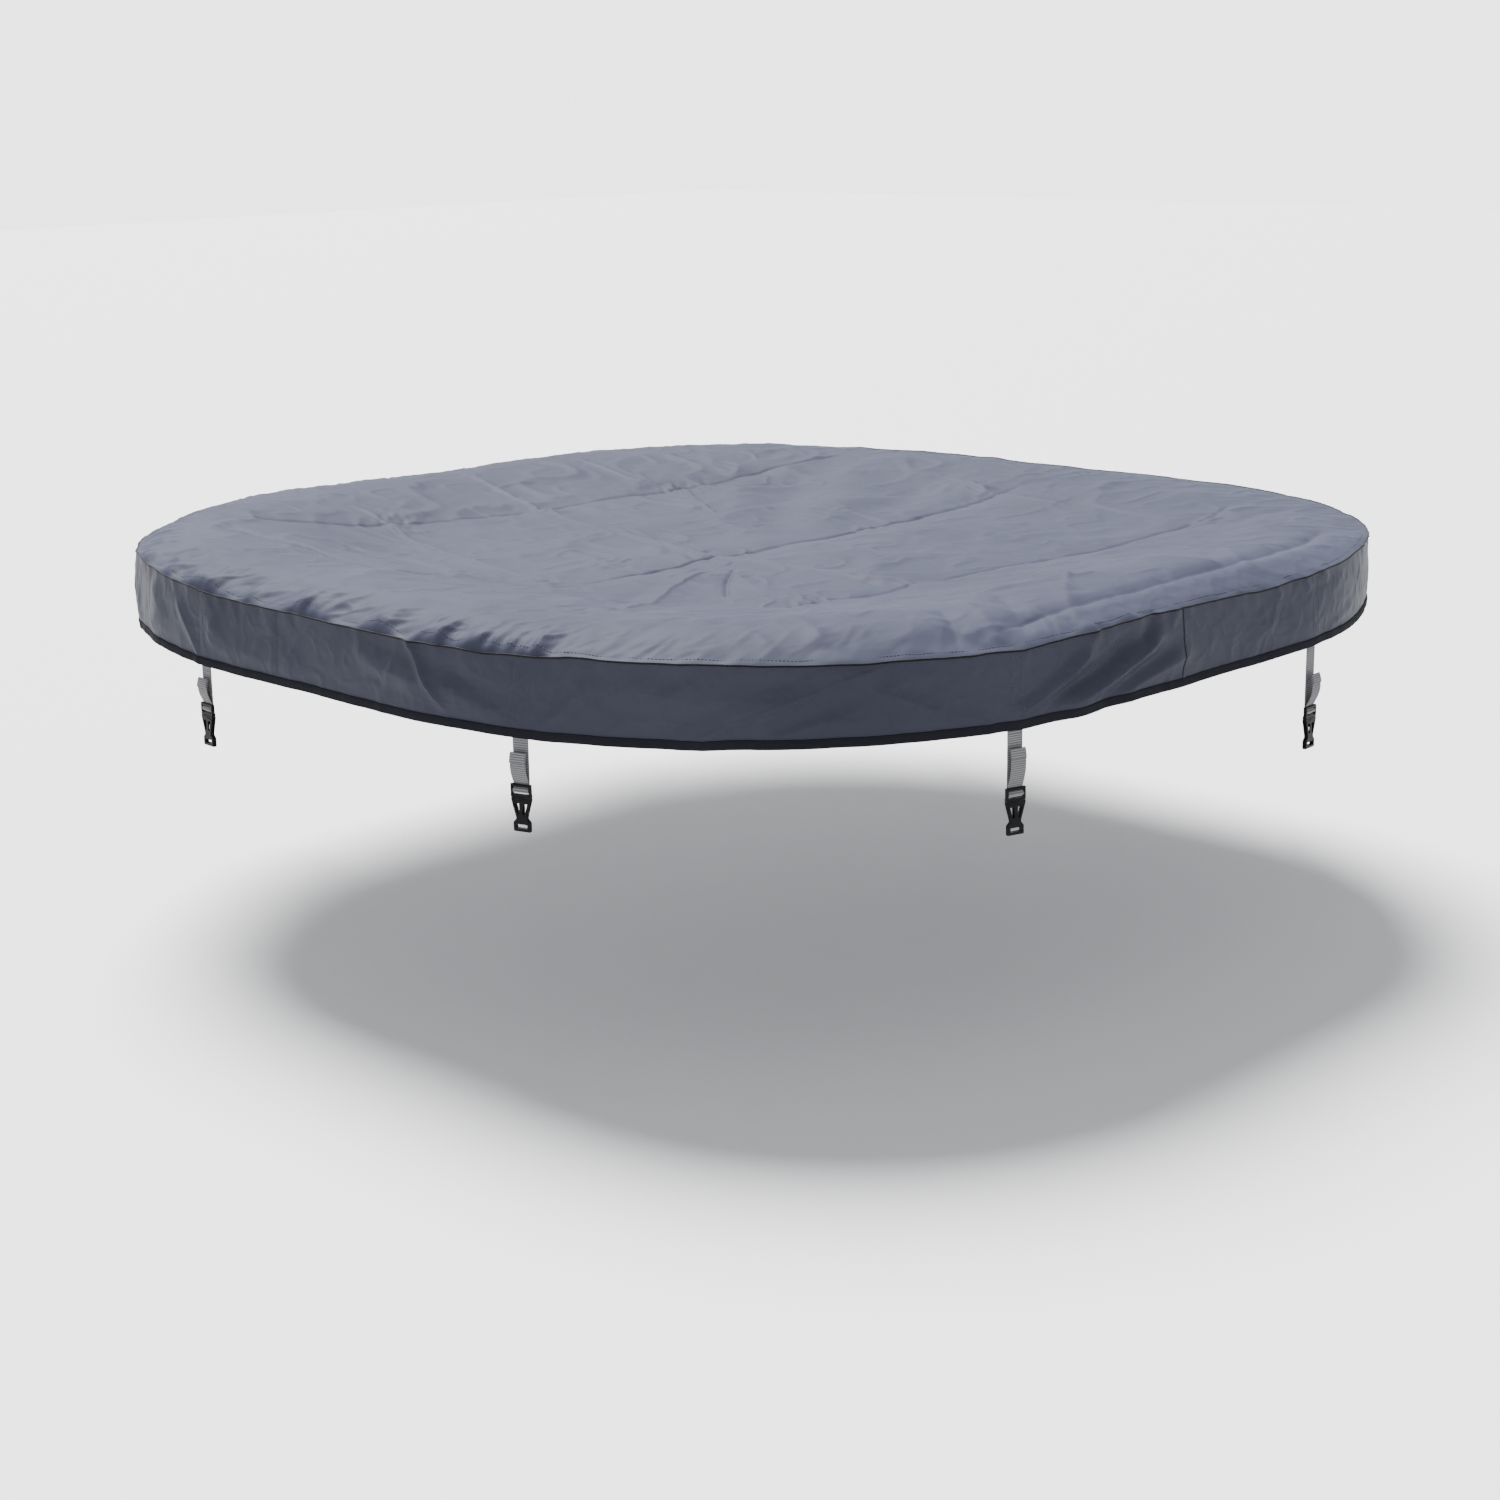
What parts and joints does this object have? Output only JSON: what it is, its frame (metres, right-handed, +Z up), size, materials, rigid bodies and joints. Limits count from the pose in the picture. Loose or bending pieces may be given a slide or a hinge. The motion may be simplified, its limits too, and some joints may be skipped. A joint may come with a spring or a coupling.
{
  "type": "spa cover",
  "caption": "Square soft cover with rounded corners for an inflatable spa: sagging top, short skirt, air insert in a zipped pocket, webbing straps with side-release buckles.",
  "frame": {"origin": "centre of the plane in which the cover rests on the crest of the tub's rim", "axes": "+Z up; X and Y along the two straight sides, with the pocket's zip on the -Y side"},
  "size_m": [1.8708, 1.8734, 0.3088],
  "materials": {
    "top_cloth": "satin",
    "skirt_cloth": "satin",
    "foil_liner": "satin",
    "seam_cloth": "matte",
    "binding_cloth": "matte",
    "insert_film": "satin",
    "valve_plastic": "satin",
    "zip_cloth": "matte",
    "zip_plastic": "gloss",
    "webbing": "matte",
    "buckle_plastic": "gloss"
  },
  "bodies": {
    "cover": {"top_panel": "top_cloth", "pocket_liner": "foil_liner", "skirt_panel_1": "skirt_cloth", "skirt_panel_2": "skirt_cloth", "skirt_panel_3": "skirt_cloth", "skirt_panel_4": "skirt_cloth", "seam_welt": "seam_cloth", "hem_binding": "binding_cloth", "air_insert": "insert_film", "insert_valve": "valve_plastic", "zip_tape_front": "zip_cloth", "zip_tape_back": "zip_cloth", "zip_stop_closed": "zip_plastic", "zip_stop_open": "zip_plastic", "strap_anchor_1": "webbing", "strap_anchor_2": "webbing", "strap_anchor_3": "webbing", "strap_anchor_4": "webbing", "strap_anchor_5": "webbing", "strap_anchor_6": "webbing", "strap_anchor_7": "webbing", "strap_anchor_8": "webbing"},
    "strap_1": {"strap_web_1": "webbing"},
    "plug_1": {"buckle_plug_1": "buckle_plastic"},
    "socket_1": {"buckle_socket_1": "buckle_plastic"},
    "strap_2": {"strap_web_2": "webbing"},
    "plug_2": {"buckle_plug_2": "buckle_plastic"},
    "socket_2": {"buckle_socket_2": "buckle_plastic"},
    "strap_3": {"strap_web_3": "webbing"},
    "plug_3": {"buckle_plug_3": "buckle_plastic"},
    "socket_3": {"buckle_socket_3": "buckle_plastic"},
    "strap_4": {"strap_web_4": "webbing"},
    "plug_4": {"buckle_plug_4": "buckle_plastic"},
    "socket_4": {"buckle_socket_4": "buckle_plastic"},
    "strap_5": {"strap_web_5": "webbing"},
    "plug_5": {"buckle_plug_5": "buckle_plastic"},
    "socket_5": {"buckle_socket_5": "buckle_plastic"},
    "strap_6": {"strap_web_6": "webbing"},
    "plug_6": {"buckle_plug_6": "buckle_plastic"},
    "socket_6": {"buckle_socket_6": "buckle_plastic"},
    "strap_7": {"strap_web_7": "webbing"},
    "plug_7": {"buckle_plug_7": "buckle_plastic"},
    "socket_7": {"buckle_socket_7": "buckle_plastic"},
    "strap_8": {"strap_web_8": "webbing"},
    "plug_8": {"buckle_plug_8": "buckle_plastic"},
    "socket_8": {"buckle_socket_8": "buckle_plastic"},
    "slider": {"zip_slider": "zip_plastic"},
    "pull": {"zip_pull": "zip_plastic"},
    "cap": {"valve_cap": "valve_plastic"}
  },
  "joints": [
    {"name": "strap_swing_1", "type": "hinge", "parent": "cover", "child": "strap_1", "pos_m": [-0.92613, 0.27004, -0.154], "axis": [0.0574, 0.9983, 0], "range_deg": [0, 100]},
    {"name": "buckle_tilt_1", "type": "hinge", "parent": "strap_1", "child": "plug_1", "pos_m": [-0.92863, 0.27019, -0.2122], "axis": [-0.0574, -0.9983, 0], "range_deg": [0, 30]},
    {"name": "buckle_release_1", "type": "slide", "parent": "plug_1", "child": "socket_1", "axis": [0, 0, -1], "range_m": [0, 0.03]},
    {"name": "strap_swing_2", "type": "hinge", "parent": "cover", "child": "strap_2", "pos_m": [-0.89907, -0.42631, -0.154], "axis": [-0.2815, 0.9595, 0], "range_deg": [0, 100]},
    {"name": "buckle_tilt_2", "type": "hinge", "parent": "strap_2", "child": "plug_2", "pos_m": [-0.90147, -0.42702, -0.2192], "axis": [0.2815, -0.9595, 0], "range_deg": [0, 30]},
    {"name": "buckle_release_2", "type": "slide", "parent": "plug_2", "child": "socket_2", "axis": [0, 0, -1], "range_m": [0, 0.03]},
    {"name": "strap_swing_3", "type": "hinge", "parent": "cover", "child": "strap_3", "pos_m": [-0.42631, -0.89907, -0.154], "axis": [-0.9595, 0.2815, 0], "range_deg": [0, 100]},
    {"name": "buckle_tilt_3", "type": "hinge", "parent": "strap_3", "child": "plug_3", "pos_m": [-0.42702, -0.90147, -0.2372], "axis": [0.9595, -0.2815, 0], "range_deg": [0, 30]},
    {"name": "buckle_release_3", "type": "slide", "parent": "plug_3", "child": "socket_3", "axis": [0, 0, -1], "range_m": [0, 0.03]},
    {"name": "strap_swing_4", "type": "hinge", "parent": "cover", "child": "strap_4", "pos_m": [0.27004, -0.92613, -0.154], "axis": [-0.9983, -0.0574, 0], "range_deg": [0, 100]},
    {"name": "buckle_tilt_4", "type": "hinge", "parent": "strap_4", "child": "plug_4", "pos_m": [0.27019, -0.92863, -0.2492], "axis": [0.9983, 0.0574, 0], "range_deg": [0, 30]},
    {"name": "buckle_release_4", "type": "slide", "parent": "plug_4", "child": "socket_4", "axis": [0, 0, -1], "range_m": [0, 0.03]},
    {"name": "strap_swing_5", "type": "hinge", "parent": "cover", "child": "strap_5", "pos_m": [0.88955, -0.45626, -0.154], "axis": [-0.3245, -0.9459, 0], "range_deg": [0, 100]},
    {"name": "buckle_tilt_5", "type": "hinge", "parent": "strap_5", "child": "plug_5", "pos_m": [0.89191, -0.45708, -0.2192], "axis": [0.3245, 0.9459, 0], "range_deg": [0, 30]},
    {"name": "buckle_release_5", "type": "slide", "parent": "plug_5", "child": "socket_5", "axis": [0, 0, -1], "range_m": [0, 0.03]},
    {"name": "strap_swing_6", "type": "hinge", "parent": "cover", "child": "strap_6", "pos_m": [0.91423, 0.36429, -0.154], "axis": [0.1926, -0.9813, 0], "range_deg": [0, 100]},
    {"name": "buckle_tilt_6", "type": "hinge", "parent": "strap_6", "child": "plug_6", "pos_m": [0.91668, 0.36477, -0.2192], "axis": [-0.1926, 0.9813, 0], "range_deg": [0, 30]},
    {"name": "buckle_release_6", "type": "slide", "parent": "plug_6", "child": "socket_6", "axis": [0, 0, -1], "range_m": [0, 0.03]},
    {"name": "strap_swing_7", "type": "hinge", "parent": "cover", "child": "strap_7", "pos_m": [0.36452, 0.91418, -0.154], "axis": [0.9812, -0.1929, 0], "range_deg": [0, 100]},
    {"name": "buckle_tilt_7", "type": "hinge", "parent": "strap_7", "child": "plug_7", "pos_m": [0.365, 0.91663, -0.2192], "axis": [-0.9812, 0.1929, 0], "range_deg": [0, 30]},
    {"name": "buckle_release_7", "type": "slide", "parent": "plug_7", "child": "socket_7", "axis": [0, 0, -1], "range_m": [0, 0.03]},
    {"name": "strap_swing_8", "type": "hinge", "parent": "cover", "child": "strap_8", "pos_m": [-0.45605, 0.88962, -0.154], "axis": [0.946, 0.3242, 0], "range_deg": [0, 100]},
    {"name": "buckle_tilt_8", "type": "hinge", "parent": "strap_8", "child": "plug_8", "pos_m": [-0.45686, 0.89199, -0.2192], "axis": [-0.946, -0.3242, 0], "range_deg": [0, 30]},
    {"name": "buckle_release_8", "type": "slide", "parent": "plug_8", "child": "socket_8", "axis": [0, 0, -1], "range_m": [0, 0.03]},
    {"name": "zip_run", "type": "slide", "parent": "cover", "child": "slider", "axis": [1, 0, 0], "range_m": [0, 0.845]},
    {"name": "zip_pull_swing", "type": "hinge", "parent": "slider", "child": "pull", "pos_m": [-0.422, -0.56, -0.0836], "axis": [0, 1, 0], "range_deg": [-90, 90]},
    {"name": "valve_cap_pull", "type": "slide", "parent": "cover", "child": "cap", "axis": [0, -1, 0], "range_m": [0, 0.012]}
  ]
}
